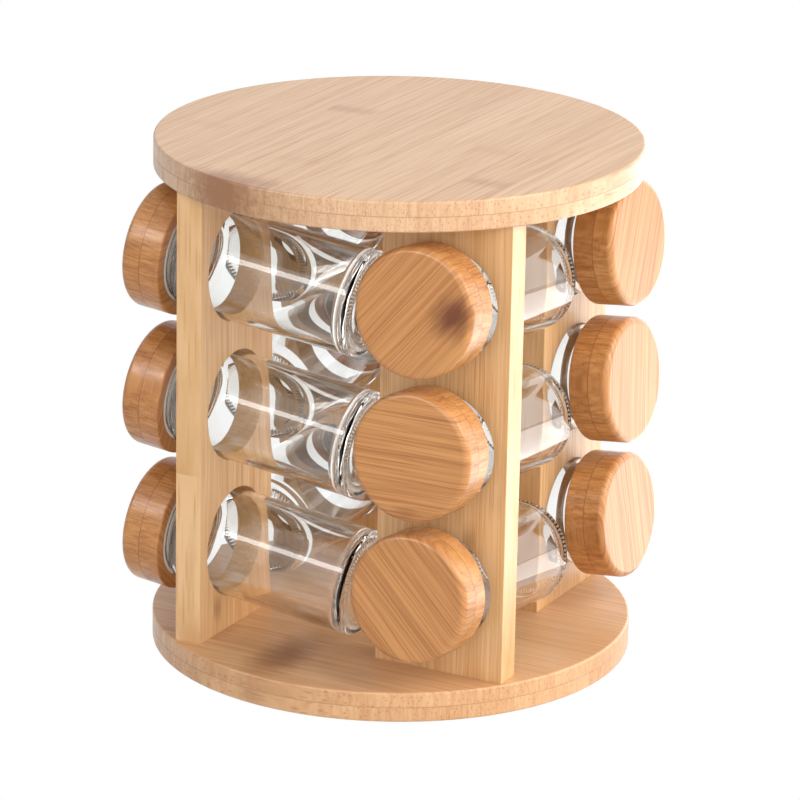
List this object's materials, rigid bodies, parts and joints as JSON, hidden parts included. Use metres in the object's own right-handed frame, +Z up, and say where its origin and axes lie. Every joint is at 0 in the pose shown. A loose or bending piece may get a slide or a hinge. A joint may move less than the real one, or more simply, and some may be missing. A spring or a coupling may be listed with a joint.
{
  "type": "spice carousel",
  "caption": "Revolving countertop spice rack: round bamboo top and base joined by four pinwheel uprights, with screw-capped glass jars lying through holes in them, on a ring bearing.",
  "frame": {"origin": "on the table surface, under the turning axis", "axes": "+Z up along the turning axis; the front upright's outer face looks along -Y and the right upright's along +X"},
  "size_m": [0.1906, 0.1906, 0.214],
  "materials": {
    "bamboo_disc": "satin lacquered bamboo, fine streaked grain",
    "bamboo_upright": "satin lacquered bamboo, grain upright",
    "bamboo_lid": "satin lacquered bamboo, turned",
    "jar_glass": "clear polished glass",
    "lining_plastic": "moulded, satin",
    "seal_foam": "soft foam disc",
    "bearing_steel": "zinc plated",
    "foot_rubber": "matt"
  },
  "bodies": {
    "turntable_base": {"foot_ring": "foot_rubber", "bearing_lower_ring": "bearing_steel"},
    "ball_cage": {"bearing_ball_cage": "bearing_steel"},
    "rack": {"bearing_upper_ring": "bearing_steel", "base_disc": "bamboo_disc", "top_disc": "bamboo_disc", "upright_front": "bamboo_upright", "upright_right": "bamboo_upright", "upright_back": "bamboo_upright", "upright_left": "bamboo_upright"},
    "jar_front_bottom": {"jar_front_bottom": "jar_glass"},
    "seal_front_bottom": {"seal_front_bottom": "seal_foam"},
    "lid_front_bottom": {"lid_front_bottom": "bamboo_lid", "lining_front_bottom": "lining_plastic"},
    "jar_front_middle": {"jar_front_middle": "jar_glass"},
    "seal_front_middle": {"seal_front_middle": "seal_foam"},
    "lid_front_middle": {"lid_front_middle": "bamboo_lid", "lining_front_middle": "lining_plastic"},
    "jar_front_top": {"jar_front_top": "jar_glass"},
    "seal_front_top": {"seal_front_top": "seal_foam"},
    "lid_front_top": {"lid_front_top": "bamboo_lid", "lining_front_top": "lining_plastic"},
    "jar_right_bottom": {"jar_right_bottom": "jar_glass"},
    "seal_right_bottom": {"seal_right_bottom": "seal_foam"},
    "lid_right_bottom": {"lid_right_bottom": "bamboo_lid", "lining_right_bottom": "lining_plastic"},
    "jar_right_middle": {"jar_right_middle": "jar_glass"},
    "seal_right_middle": {"seal_right_middle": "seal_foam"},
    "lid_right_middle": {"lid_right_middle": "bamboo_lid", "lining_right_middle": "lining_plastic"},
    "jar_right_top": {"jar_right_top": "jar_glass"},
    "seal_right_top": {"seal_right_top": "seal_foam"},
    "lid_right_top": {"lid_right_top": "bamboo_lid", "lining_right_top": "lining_plastic"},
    "jar_back_bottom": {"jar_back_bottom": "jar_glass"},
    "seal_back_bottom": {"seal_back_bottom": "seal_foam"},
    "lid_back_bottom": {"lid_back_bottom": "bamboo_lid", "lining_back_bottom": "lining_plastic"},
    "jar_back_middle": {"jar_back_middle": "jar_glass"},
    "seal_back_middle": {"seal_back_middle": "seal_foam"},
    "lid_back_middle": {"lid_back_middle": "bamboo_lid", "lining_back_middle": "lining_plastic"},
    "jar_back_top": {"jar_back_top": "jar_glass"},
    "seal_back_top": {"seal_back_top": "seal_foam"},
    "lid_back_top": {"lid_back_top": "bamboo_lid", "lining_back_top": "lining_plastic"},
    "jar_left_bottom": {"jar_left_bottom": "jar_glass"},
    "seal_left_bottom": {"seal_left_bottom": "seal_foam"},
    "lid_left_bottom": {"lid_left_bottom": "bamboo_lid", "lining_left_bottom": "lining_plastic"},
    "jar_left_middle": {"jar_left_middle": "jar_glass"},
    "seal_left_middle": {"seal_left_middle": "seal_foam"},
    "lid_left_middle": {"lid_left_middle": "bamboo_lid", "lining_left_middle": "lining_plastic"},
    "jar_left_top": {"jar_left_top": "jar_glass"},
    "seal_left_top": {"seal_left_top": "seal_foam"},
    "lid_left_top": {"lid_left_top": "bamboo_lid", "lining_left_top": "lining_plastic"}
  },
  "joints": [
    {"name": "carousel_spin", "type": "hinge", "parent": "turntable_base", "child": "rack", "pos_m": [0, 0, 0.005], "axis": [0, 0, 1], "continuous": true},
    {"name": "cage_spin", "type": "hinge", "parent": "turntable_base", "child": "ball_cage", "pos_m": [0, 0, 0.005], "axis": [0, 0, 1], "continuous": true},
    {"name": "jar_front_bottom_pull", "type": "slide", "parent": "rack", "child": "jar_front_bottom", "axis": [0, -0.9945, 0.1045], "range_m": [-0.003, 0.115]},
    {"name": "lid_front_bottom_lift", "type": "slide", "parent": "jar_front_bottom", "child": "seal_front_bottom", "axis": [0, -0.9945, 0.1045], "range_m": [0, 0.0106]},
    {"name": "lid_front_bottom_turn", "type": "hinge", "parent": "seal_front_bottom", "child": "lid_front_bottom", "pos_m": [0.0498, -0.0485, 0.0545], "axis": [0, -0.9945, 0.1045], "range_deg": [0, 900]},
    {"name": "jar_front_middle_pull", "type": "slide", "parent": "rack", "child": "jar_front_middle", "axis": [0, -0.9945, 0.1045], "range_m": [-0.003, 0.115]},
    {"name": "lid_front_middle_lift", "type": "slide", "parent": "jar_front_middle", "child": "seal_front_middle", "axis": [0, -0.9945, 0.1045], "range_m": [0, 0.0106]},
    {"name": "lid_front_middle_turn", "type": "hinge", "parent": "seal_front_middle", "child": "lid_front_middle", "pos_m": [0.0498, -0.0485, 0.111], "axis": [0, -0.9945, 0.1045], "range_deg": [0, 900]},
    {"name": "jar_front_top_pull", "type": "slide", "parent": "rack", "child": "jar_front_top", "axis": [0, -0.9945, 0.1045], "range_m": [-0.003, 0.115]},
    {"name": "lid_front_top_lift", "type": "slide", "parent": "jar_front_top", "child": "seal_front_top", "axis": [0, -0.9945, 0.1045], "range_m": [0, 0.0106]},
    {"name": "lid_front_top_turn", "type": "hinge", "parent": "seal_front_top", "child": "lid_front_top", "pos_m": [0.0498, -0.0485, 0.1675], "axis": [0, -0.9945, 0.1045], "range_deg": [0, 900]},
    {"name": "jar_right_bottom_pull", "type": "slide", "parent": "rack", "child": "jar_right_bottom", "axis": [0.9945, 0, 0.1045], "range_m": [-0.003, 0.115]},
    {"name": "lid_right_bottom_lift", "type": "slide", "parent": "jar_right_bottom", "child": "seal_right_bottom", "axis": [0.9945, 0, 0.1045], "range_m": [0, 0.0106]},
    {"name": "lid_right_bottom_turn", "type": "hinge", "parent": "seal_right_bottom", "child": "lid_right_bottom", "pos_m": [0.0485, 0.0498, 0.0545], "axis": [0.9945, 0, 0.1045], "range_deg": [0, 900]},
    {"name": "jar_right_middle_pull", "type": "slide", "parent": "rack", "child": "jar_right_middle", "axis": [0.9945, 0, 0.1045], "range_m": [-0.003, 0.115]},
    {"name": "lid_right_middle_lift", "type": "slide", "parent": "jar_right_middle", "child": "seal_right_middle", "axis": [0.9945, 0, 0.1045], "range_m": [0, 0.0106]},
    {"name": "lid_right_middle_turn", "type": "hinge", "parent": "seal_right_middle", "child": "lid_right_middle", "pos_m": [0.0485, 0.0498, 0.111], "axis": [0.9945, 0, 0.1045], "range_deg": [0, 900]},
    {"name": "jar_right_top_pull", "type": "slide", "parent": "rack", "child": "jar_right_top", "axis": [0.9945, 0, 0.1045], "range_m": [-0.003, 0.115]},
    {"name": "lid_right_top_lift", "type": "slide", "parent": "jar_right_top", "child": "seal_right_top", "axis": [0.9945, 0, 0.1045], "range_m": [0, 0.0106]},
    {"name": "lid_right_top_turn", "type": "hinge", "parent": "seal_right_top", "child": "lid_right_top", "pos_m": [0.0485, 0.0498, 0.1675], "axis": [0.9945, 0, 0.1045], "range_deg": [0, 900]},
    {"name": "jar_back_bottom_pull", "type": "slide", "parent": "rack", "child": "jar_back_bottom", "axis": [0, 0.9945, 0.1045], "range_m": [-0.003, 0.115]},
    {"name": "lid_back_bottom_lift", "type": "slide", "parent": "jar_back_bottom", "child": "seal_back_bottom", "axis": [0, 0.9945, 0.1045], "range_m": [0, 0.0106]},
    {"name": "lid_back_bottom_turn", "type": "hinge", "parent": "seal_back_bottom", "child": "lid_back_bottom", "pos_m": [-0.0498, 0.0485, 0.0545], "axis": [0, 0.9945, 0.1045], "range_deg": [0, 900]},
    {"name": "jar_back_middle_pull", "type": "slide", "parent": "rack", "child": "jar_back_middle", "axis": [0, 0.9945, 0.1045], "range_m": [-0.003, 0.115]},
    {"name": "lid_back_middle_lift", "type": "slide", "parent": "jar_back_middle", "child": "seal_back_middle", "axis": [0, 0.9945, 0.1045], "range_m": [0, 0.0106]},
    {"name": "lid_back_middle_turn", "type": "hinge", "parent": "seal_back_middle", "child": "lid_back_middle", "pos_m": [-0.0498, 0.0485, 0.111], "axis": [0, 0.9945, 0.1045], "range_deg": [0, 900]},
    {"name": "jar_back_top_pull", "type": "slide", "parent": "rack", "child": "jar_back_top", "axis": [0, 0.9945, 0.1045], "range_m": [-0.003, 0.115]},
    {"name": "lid_back_top_lift", "type": "slide", "parent": "jar_back_top", "child": "seal_back_top", "axis": [0, 0.9945, 0.1045], "range_m": [0, 0.0106]},
    {"name": "lid_back_top_turn", "type": "hinge", "parent": "seal_back_top", "child": "lid_back_top", "pos_m": [-0.0498, 0.0485, 0.1675], "axis": [0, 0.9945, 0.1045], "range_deg": [0, 900]},
    {"name": "jar_left_bottom_pull", "type": "slide", "parent": "rack", "child": "jar_left_bottom", "axis": [-0.9945, 0, 0.1045], "range_m": [-0.003, 0.115]},
    {"name": "lid_left_bottom_lift", "type": "slide", "parent": "jar_left_bottom", "child": "seal_left_bottom", "axis": [-0.9945, 0, 0.1045], "range_m": [0, 0.0106]},
    {"name": "lid_left_bottom_turn", "type": "hinge", "parent": "seal_left_bottom", "child": "lid_left_bottom", "pos_m": [-0.0485, -0.0498, 0.0545], "axis": [-0.9945, 0, 0.1045], "range_deg": [0, 900]},
    {"name": "jar_left_middle_pull", "type": "slide", "parent": "rack", "child": "jar_left_middle", "axis": [-0.9945, 0, 0.1045], "range_m": [-0.003, 0.115]},
    {"name": "lid_left_middle_lift", "type": "slide", "parent": "jar_left_middle", "child": "seal_left_middle", "axis": [-0.9945, 0, 0.1045], "range_m": [0, 0.0106]},
    {"name": "lid_left_middle_turn", "type": "hinge", "parent": "seal_left_middle", "child": "lid_left_middle", "pos_m": [-0.0485, -0.0498, 0.111], "axis": [-0.9945, 0, 0.1045], "range_deg": [0, 900]},
    {"name": "jar_left_top_pull", "type": "slide", "parent": "rack", "child": "jar_left_top", "axis": [-0.9945, 0, 0.1045], "range_m": [-0.003, 0.115]},
    {"name": "lid_left_top_lift", "type": "slide", "parent": "jar_left_top", "child": "seal_left_top", "axis": [-0.9945, 0, 0.1045], "range_m": [0, 0.0106]},
    {"name": "lid_left_top_turn", "type": "hinge", "parent": "seal_left_top", "child": "lid_left_top", "pos_m": [-0.0485, -0.0498, 0.1675], "axis": [-0.9945, 0, 0.1045], "range_deg": [0, 900]}
  ],
  "couplings": [
    {"joint": "cage_spin", "follows": "carousel_spin", "ratio": 0.5},
    {"joint": "lid_front_bottom_lift", "follows": "lid_front_bottom_turn", "m_per_rad": 0.00066845},
    {"joint": "lid_front_middle_lift", "follows": "lid_front_middle_turn", "m_per_rad": 0.00066845},
    {"joint": "lid_front_top_lift", "follows": "lid_front_top_turn", "m_per_rad": 0.00066845},
    {"joint": "lid_right_bottom_lift", "follows": "lid_right_bottom_turn", "m_per_rad": 0.00066845},
    {"joint": "lid_right_middle_lift", "follows": "lid_right_middle_turn", "m_per_rad": 0.00066845},
    {"joint": "lid_right_top_lift", "follows": "lid_right_top_turn", "m_per_rad": 0.00066845},
    {"joint": "lid_back_bottom_lift", "follows": "lid_back_bottom_turn", "m_per_rad": 0.00066845},
    {"joint": "lid_back_middle_lift", "follows": "lid_back_middle_turn", "m_per_rad": 0.00066845},
    {"joint": "lid_back_top_lift", "follows": "lid_back_top_turn", "m_per_rad": 0.00066845},
    {"joint": "lid_left_bottom_lift", "follows": "lid_left_bottom_turn", "m_per_rad": 0.00066845},
    {"joint": "lid_left_middle_lift", "follows": "lid_left_middle_turn", "m_per_rad": 0.00066845},
    {"joint": "lid_left_top_lift", "follows": "lid_left_top_turn", "m_per_rad": 0.00066845}
  ]
}
